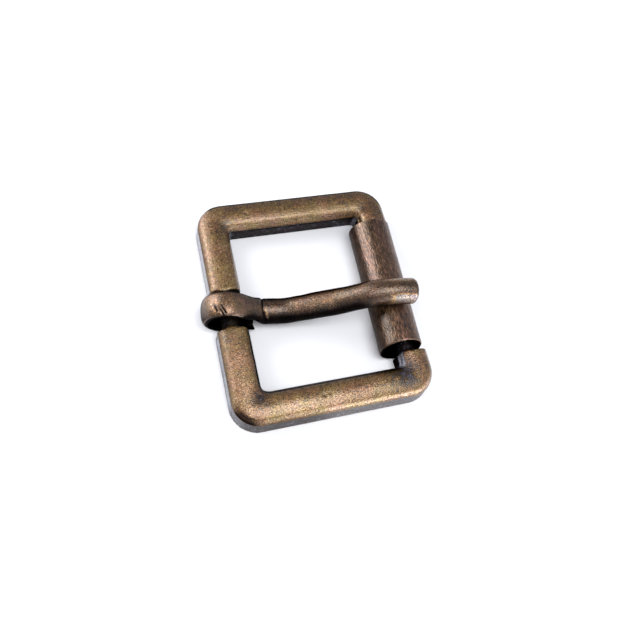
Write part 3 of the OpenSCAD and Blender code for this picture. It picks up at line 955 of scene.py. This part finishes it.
# prong: a rod flattened at one end and wrapped round the neck, bent over the roller at the other; x runs
# along it from the loop's middle, z up
rod = {
    "loopRadius": 3.35, "stripThick": 1.05, "stripWide": 3.7, "stripSide": -0.38,   # mm, as the solid
    "crease": (5.25, 0.675), "tail": (3.95, -1.0), "tailBend": 1.75, "shank": 3.65,
    # straight run, degrees turned after it, radius of that bend
    "path": [(2.1, 20.5, 6), (5.6, 9, 10), (3.85, -21.5, 6), (0.5, -10, 12)],
    "tipRun": 1.85, "tipRound": 0.6, "tipSteps": 9, "tipSwell": 0.03, "tipRings": (0.85, 0.7, 0.5, 0.3, 0.1),
    "around": 96, "step": 0.11, "bendSteps": 14,
    # the strip's section: how much of its thickness the rounded outer face takes, and how square the
    # outer face is on the tail, on the loop and inside, where 2 is round
    "outerShare": 0.72, "tailPower": 2.8, "loopPower": 2.4, "innerPower": 4.0,
    # the cut end of the strip: distance below it, share of the thickness that is there
    "tailRings": [(0, 0.55), (0.06, 0.85), (0.18, 1.0), (0.4, 1.0)],
    "roundSection": (0.5, 2.0, 2.0),        # the share and both powers of the shank's own section
    # the curve of the leg's underside is steered at two shares of the way to the crease, the second
    # of them moved by legSag, and at a point a little back from the foot
    "legPulls": (0.45, 0.95), "legSag": (0.1, -0.35), "footBack": (0.45, -0.35),
    "waist": 0.8, "waistEarly": 1.15,       # the leg is pinched before the crease
    # press marks on the loop: from angle and place across to angle and place across, degrees and mm
    "gouges": [
        (117.9, -0.54, 111.5, -1.54),
        (106.4, -1.02, 97.2, -2.09),
        (102.6, -0.62, 91.4, -1.83),
    ],
    "gougeWide": 0.11, "gougeDeep": 0.16, "gougeStart": 0.5, "gougeBlack": 1.3,
    # the crease where the flattening ends: how far past the corner, its slant and its bow across
    "creaseAt": 0.1, "creaseSlant": 0.15 / 1.6, "slantFrom": -0.4, "creaseBow": 0.2, "bowHalf": 1.8,
    "creaseWide": 0.12, "creaseDeep": 0.13, "creaseBlack": 0.95,
    "scuffRub": 0.35, "scuffAt": 0.3, "scuffWide": 0.2, "scuffFrom": -1.3,
    "scuffGrain": 0.3, "scuffSeed": 33,
    # the burr at the cut end's near corner: place from that corner, reach and push
    "burrAt": (-0.1, 0, -1.2), "burrReach": 0.42, "burrPush": (0.95, -0.6, 0.0),
    "nipWide": 0.12,                        # the rod was nipped a little wider where it climbs
    "uneven": 0.03, "unevenSize": 2.0, "unevenSeed": 21, "sunk": 0.02,
    # how far it is rubbed: 0 black, 0.2 dark, 0.5 brown, 0.8 bright, 1 steel
    "leastRub": 0.03, "rimRub": 0.3, "insideRub": 0.01, "bluntRub": 0.25, "bluntSoot": 0.4,
    "facingFar": 0.25,                      # part that a far-facing side counts as facing up
    "farDarkening": (0.35, 0.65), "farDarkeningTip": (0.7, 0.92), "tipSpan": (17.5, 20.5),
    "steelStretch": (0.4, 1, 1), "steelGrain": 0.35, "steelSeed": 31, "steelUneven": 0.3,
    # where the loop's face, the strip's edges, the outer face below and the black inside are, in mm;
    # outerFacing and outerSide are parts of the normal
    "faceDeep": 0.45, "faceTo": 2.2, "faceAbove": -1, "edgeWide": 0.22, "insideDeep": 0.8, "insideTo": 4.5,
    "outerFacing": 0.3, "outerSide": -0.3, "outerBelow": -1, "underBelow": -1.6, "underFrom": 2.4,
    # ramps of the crease, the scuff past it and the nipped stretch
    "marks": {
        "creaseTop": [("up", -0.1, 0.35)],
        "scuffTop": [("up", 0.3, 0.7), ("y", 0.4, -0.4)],
        "nipped": [("x", 10.5, 12.5), ("x", 17.0, 15.0), ("toY", 0.2, 0.9)],
    },
    # masks of the wear: what each is worth where it is full, and its ramps
    "masks": {
        "top": (0.45, [("facing", 0.1, 0.9)]),
        "tipTop": (0.3, [("facing", -0.6, 0.2)]),
        "tipFarSide": (0.3, [("toY", 0.0, 0.6), ("up", 0.0, 0.3)]),
        "dip": (0.16, [("x", 4.8, 5.6), ("x", 10, 7.5)]),
        "loopBackReflection": (0.12, [("toX", 0.0, -0.5)]),
        "underside": (0.26, [("up", -0.45, -0.8)]),
        "steelAndReflection": (0.85, [("x", 21.6, 23.4), ("toY", -0.5, -0.72), ("up", -0.15, 0.15), ("x", 26.7, 26.0)]),
        "leg": (0.1, [("x", 2.0, 3.2), ("x", 5.5, 5.0)]),
        "offTop": (1, [("up", 0.95, 0.8)]),
        "blunt": (1, [("toX", 0.55, 0.85), ("x", 17, 18)]),
        "endSoot": (0.35, [("x", 26.2, 26.8)]),
    },
}


def ribRing(outer, inner, width, side, share, outerPower, innerPower, around):
    # a section between two points of the side view, widest at a share of its thickness below the outer
    # point; power 2 is round, more is squarer
    outer, inner = np.array(outer, float), np.array(inner, float)
    widest = outer + (inner - outer) * share
    ring = []
    for i in range(around):
        a = 2 * pi * (i + 0.5) / around
        power = outerPower if sin(a) > 0 else innerPower
        across = abs(cos(a)) ** (2 / power) * (1 if cos(a) > 0 else -1)
        updown = abs(sin(a)) ** (2 / power)
        middle = widest + ((outer if sin(a) > 0 else inner) - widest) * updown
        ring.append((middle[0], side + width / 2 * across, middle[1]))
    return ring


def shankRib(at, heading, width):
    # a round section of the shank, as the outer point, inner point, width, side shift, share and powers
    over = np.array([-sin(heading), cos(heading)]) * width / 2
    return at + over, at - over, width, 0.0, *rod["roundSection"]


def leaveAngle(size):
    # where the leg's straight top touches the loop, in radians round the loop's middle
    crease = np.array(size["crease"])
    return atan2(crease[1], crease[0]) + np.arccos(size["loopRadius"] / np.linalg.norm(crease))


def loopRibs(size, leave):
    # from the strip's free end under the neck and round the loop to where the leg leaves it:
    # outer point, inner point, width, side shift, share and the two powers of each section
    radius, thick, step = size["loopRadius"], size["stripThick"], size["step"]
    wide, side, share = size["stripWide"], size["stripSide"], size["outerShare"]
    powers = size["tailPower"], size["innerPower"]
    tailX, tailZ = size["tail"]
    bend, bendSteps = size["tailBend"], size["bendSteps"]
    centre = np.array([tailX - bend, bend - radius])
    ribs = []
    for below, keep in size["tailRings"]:
        middle, z = tailX - thick / 2, tailZ - below
        ribs.append(((middle + thick / 2 * keep, z), (middle - thick / 2 * keep, z),
                     wide - thick * (1 - keep), side, share, *powers))
    for k in range(bendSteps + 1):
        a = -pi / 2 * k / bendSteps
        way = np.array([cos(a), sin(a)])
        ribs.append((centre + bend * way, centre + (bend - thick) * way, wide, side, share, *powers))
    for k in range(1, int(centre[0] / step)):
        x = centre[0] - k * step
        ribs.append(((x, -radius), (x, thick - radius), wide, side, share, *powers))
    turn = 2 * pi - (pi / 2 + leave)
    steps = int(turn * radius / step)
    for k in range(steps + 1):
        a = -pi / 2 - turn * k / steps
        way = np.array([cos(a), sin(a)])
        ribs.append((radius * way, (radius - thick) * way, wide, side, share,
                     size["loopPower"], size["innerPower"]))
    return ribs


def legRibs(size, leave):
    # down from the loop to the crease, while the strip narrows and thickens into the shank
    radius, thick, shank = size["loopRadius"], size["stripThick"], size["shank"]
    crease = np.array(size["crease"])
    start = radius * np.array([cos(leave), sin(leave)])
    under = (radius - thick) * np.array([cos(leave), sin(leave)])
    foot = crease - np.array([0, shank])
    down = crease - start
    # the leg's underside leaves the loop, runs below the leg and turns down into the shank's own
    early, late = size["legPulls"]
    pulls = [under, under + down * early, under + down * late + size["legSag"],
             foot - size["footBack"], foot]
    steps = int(np.linalg.norm(down) / size["step"])
    ribs = []
    for k in range(1, steps + 1):
        t = k / steps
        s = 1 - t
        weights = [s ** 4, 4 * t * s ** 3, 6 * t * t * s ** 2, 4 * t ** 3 * s, t ** 4]
        low = sum(w * np.array(p) for w, p in zip(weights, pulls))
        ease = t * t * (3 - 2 * t)
        width = size["stripWide"] + (shank - size["stripWide"]) * ease
        width -= size["waist"] * sin(pi * min(1, t * size["waistEarly"])) ** 2 * t
        share, outerPower, innerPower = blended(
            (size["outerShare"], size["tailPower"], size["innerPower"]), size["roundSection"], ease)
        ribs.append((start + down * t, low, width, size["stripSide"] * (1 - ease), share,
                     outerPower, innerPower))
    return ribs


def rodRibs(size):
    # along the shank from the crease to the blunt tip
    shank, step = size["shank"], size["step"]
    ribs = []
    at, heading = np.array(size["crease"]) - np.array([0, shank / 2]), 0.0
    for run, turned, bendRadius in size["path"]:
        ahead = np.array([cos(heading), sin(heading)])
        count = max(1, int(run / step))
        for k in range(1, count + 1):
            ribs.append(shankRib(at + ahead * run * k / count, heading, shank))
        at = at + ahead * run
        arm = bendRadius * (1 if turned > 0 else -1)
        centre = at + arm * np.array([-sin(heading), cos(heading)])
        count = max(2, int(abs(radians(turned)) * bendRadius / step))
        for k in range(1, count + 1):
            a = heading + radians(turned) * k / count
            ribs.append(shankRib(centre - arm * np.array([-sin(a), cos(a)]), a, shank))
        heading += radians(turned)
        at = centre - arm * np.array([-sin(heading), cos(heading)])
    ahead = np.array([cos(heading), sin(heading)])
    rounding = size["tipRound"]
    flat = size["tipRun"] - rounding
    count = int(flat / step)
    for k in range(1, count + 1):
        ribs.append(shankRib(at + ahead * flat * k / count, heading, shank))
    for k in range(1, size["tipSteps"] + 1):
        a = pi / 2 * k / size["tipSteps"]
        width = shank - 2 * rounding * (1 - cos(a))
        ribs.append(shankRib(at + ahead * (flat + rounding * sin(a)), heading, width))
    for keep in size["tipRings"]:
        end = at + ahead * (size["tipRun"] + size["tipSwell"])
        ribs.append(shankRib(end, heading, (shank - 2 * rounding) * keep))
    return ribs


def lineDistance(places, first, last):
    # distance from each place to a straight line between two places, and its share of the way along it
    first, last = np.array(first), np.array(last)
    way = last - first
    t = np.clip((places - first) @ way / (way @ way), 0, 1)
    return np.linalg.norm(places - first - t[:, None] * way, axis=1), t


def wearProng(points, normals):
    # how far it is rubbed and where soot and painted shade lie: the top of the shank brown to bright, the
    # far side darker
    size = rod
    x, y, z = points.T
    toX, toY, up = normals.T
    tip = smoothRise(*size["tipSpan"], x)
    measures = {"x": x, "y": y, "toX": toX, "toY": toY, "up": up,
                "facing": up + size["facingFar"] * toY * (1 - tip)}
    shares = maskShares(size["masks"], measures)
    # the top is rubbed brown to bright, and the dip is rubbed less, as painted shade
    rubbed = size["leastRub"] + shares["top"] * (1 - tip) + shares["tipTop"] * tip - shares["dip"]
    # the loop's back, which faces -X, is paler: a painted reflection of the floor
    rubbed += shares["tipFarSide"] * tip + shares["loopBackReflection"] * (x < 1)
    # the rod's underside and the loop's outer face below are rubbed a little all over
    rubbed += shares["underside"]
    # its near side shows bare steel beside the tip, with a painted reflection of the floor there, and the
    # leg is rubbed less
    streaks = cloudNoise(points * size["steelStretch"], size["steelGrain"], size["steelSeed"])
    rubbed += shares["steelAndReflection"] * (1 + size["steelUneven"] * streaks)
    rubbed -= shares["leg"] + size["bluntRub"] * shares["blunt"]
    sootAndShade = smoothRise(*blended(size["farDarkening"], size["farDarkeningTip"], tip), toY) * shares["offTop"]
    sootAndShade += size["bluntSoot"] * shares["blunt"] + shares["endSoot"]
    # the strip's near edge is rubbed, and all that lies inside the loop is black, dark film and painted
    # shade
    reach = np.hypot(x, z)
    onEdge = np.abs(y - size["stripSide"]) > size["stripWide"] / 2 - size["edgeWide"]
    onLoop = (reach > size["loopRadius"] - size["faceDeep"]) & (x < size["faceTo"]) & (z > size["faceAbove"])
    outerFace = (x * toX + z * up > size["outerFacing"] * reach) & (toY > size["outerSide"])
    outerFace &= z < size["outerBelow"]
    underneath = (z < size["underBelow"]) | ((z < 0) & (x > size["underFrom"]))
    enclosed = (reach < size["loopRadius"] - size["insideDeep"]) & ~onEdge
    inside = (x < size["insideTo"]) & (enclosed | underneath) & ~outerFace
    rubbed = np.where(onEdge & onLoop & (y < 0), size["rimRub"], rubbed)
    rubbed = np.where(inside, size["insideRub"], rubbed)
    return rubbed, np.where(inside, 1.0, sootAndShade), onLoop, measures


def markProng(points, normals, rubbed, onLoop, measures):
    # press marks, crease, burr, the nipped stretch and a slightly uneven rod
    size = rod
    x, y, z = points.T       # these, and x and y in the measures, follow the points as they move
    radius = size["loopRadius"]
    unrolled = np.stack([np.arctan2(z, x) * radius, y], 1)
    cut = np.zeros(len(points))
    for angle, side, lastAngle, lastSide in size["gouges"]:
        away, t = lineDistance(unrolled, (radians(angle) * radius, side),
                               (radians(lastAngle) * radius, lastSide))
        deepening = size["gougeStart"] + (1 - size["gougeStart"]) * t
        cut = np.maximum(cut, bell(away, size["gougeWide"]) * deepening)
    cut *= onLoop
    rubbed = rubbed * (1 - np.clip(size["gougeBlack"] * cut, 0, 1))
    points -= normals * (size["gougeDeep"] * cut)[:, None]
    # the crease is bowed towards the loop, with rubbed metal just past it
    bow = size["crease"][0] + size["creaseAt"] - size["creaseSlant"] * (y - size["slantFrom"])
    bow -= size["creaseBow"] * (1 - (y / size["bowHalf"]) ** 2)
    groove = bell(x - bow, size["creaseWide"]) * masked(measures, size["marks"]["creaseTop"])
    lip = bell(x - bow - size["scuffAt"], size["scuffWide"]) * (z > size["scuffFrom"])
    points -= normals * (size["creaseDeep"] * groove)[:, None]
    grain = 1 + cloudNoise(points, size["scuffGrain"], size["scuffSeed"])
    scuff = lip * grain * masked(measures, size["marks"]["scuffTop"])
    rubbed = rubbed * (1 - size["creaseBlack"] * groove) + size["scuffRub"] * scuff
    # the free end was cut off with a burr at its near corner
    corner = (size["tail"][0], size["stripSide"] - size["stripWide"] / 2, size["tail"][1])
    away = np.linalg.norm(points - np.add(corner, size["burrAt"]), axis=1)
    points += bell(away, size["burrReach"])[:, None] * np.array(size["burrPush"])
    nipped = masked(measures, size["marks"]["nipped"])
    points += normals * (size["nipWide"] * nipped)[:, None]
    uneven = size["uneven"] * cloudNoise(points, size["unevenSize"], size["unevenSeed"])
    points += normals * (uneven - size["sunk"])[:, None]
    return rubbed


def makeProng():
    size = rod
    leave = leaveAngle(size)
    ribs = loopRibs(size, leave) + legRibs(size, leave) + rodRibs(size)
    piece = loft("bentProng", [ribRing(*rib, size["around"]) for rib in ribs])
    points, normals = readMesh(piece.data)
    rubbed, sootAndShade, onLoop, measures = wearProng(points, normals)
    rubbed = markProng(points, normals, rubbed, onLoop, measures)
    writePoints(piece.data, points)
    writeMask(piece.data, "rubbed", rubbed)
    writeMask(piece.data, "sootyAndShaded", sootAndShade)
    hinge = joints["prong_swing"]
    turn = atan2(-hinge["axis"][0], -hinge["axis"][1])
    place = Matrix.Translation(Vector(hinge["pos_m"]) / mm) @ Matrix.Rotation(-turn, 4, "Z")
    piece.data.transform(place)
    printBox("prong", piece.data, "prong")
    finishPiece(piece, "prong", "prong", rodPlate)


makeProng()
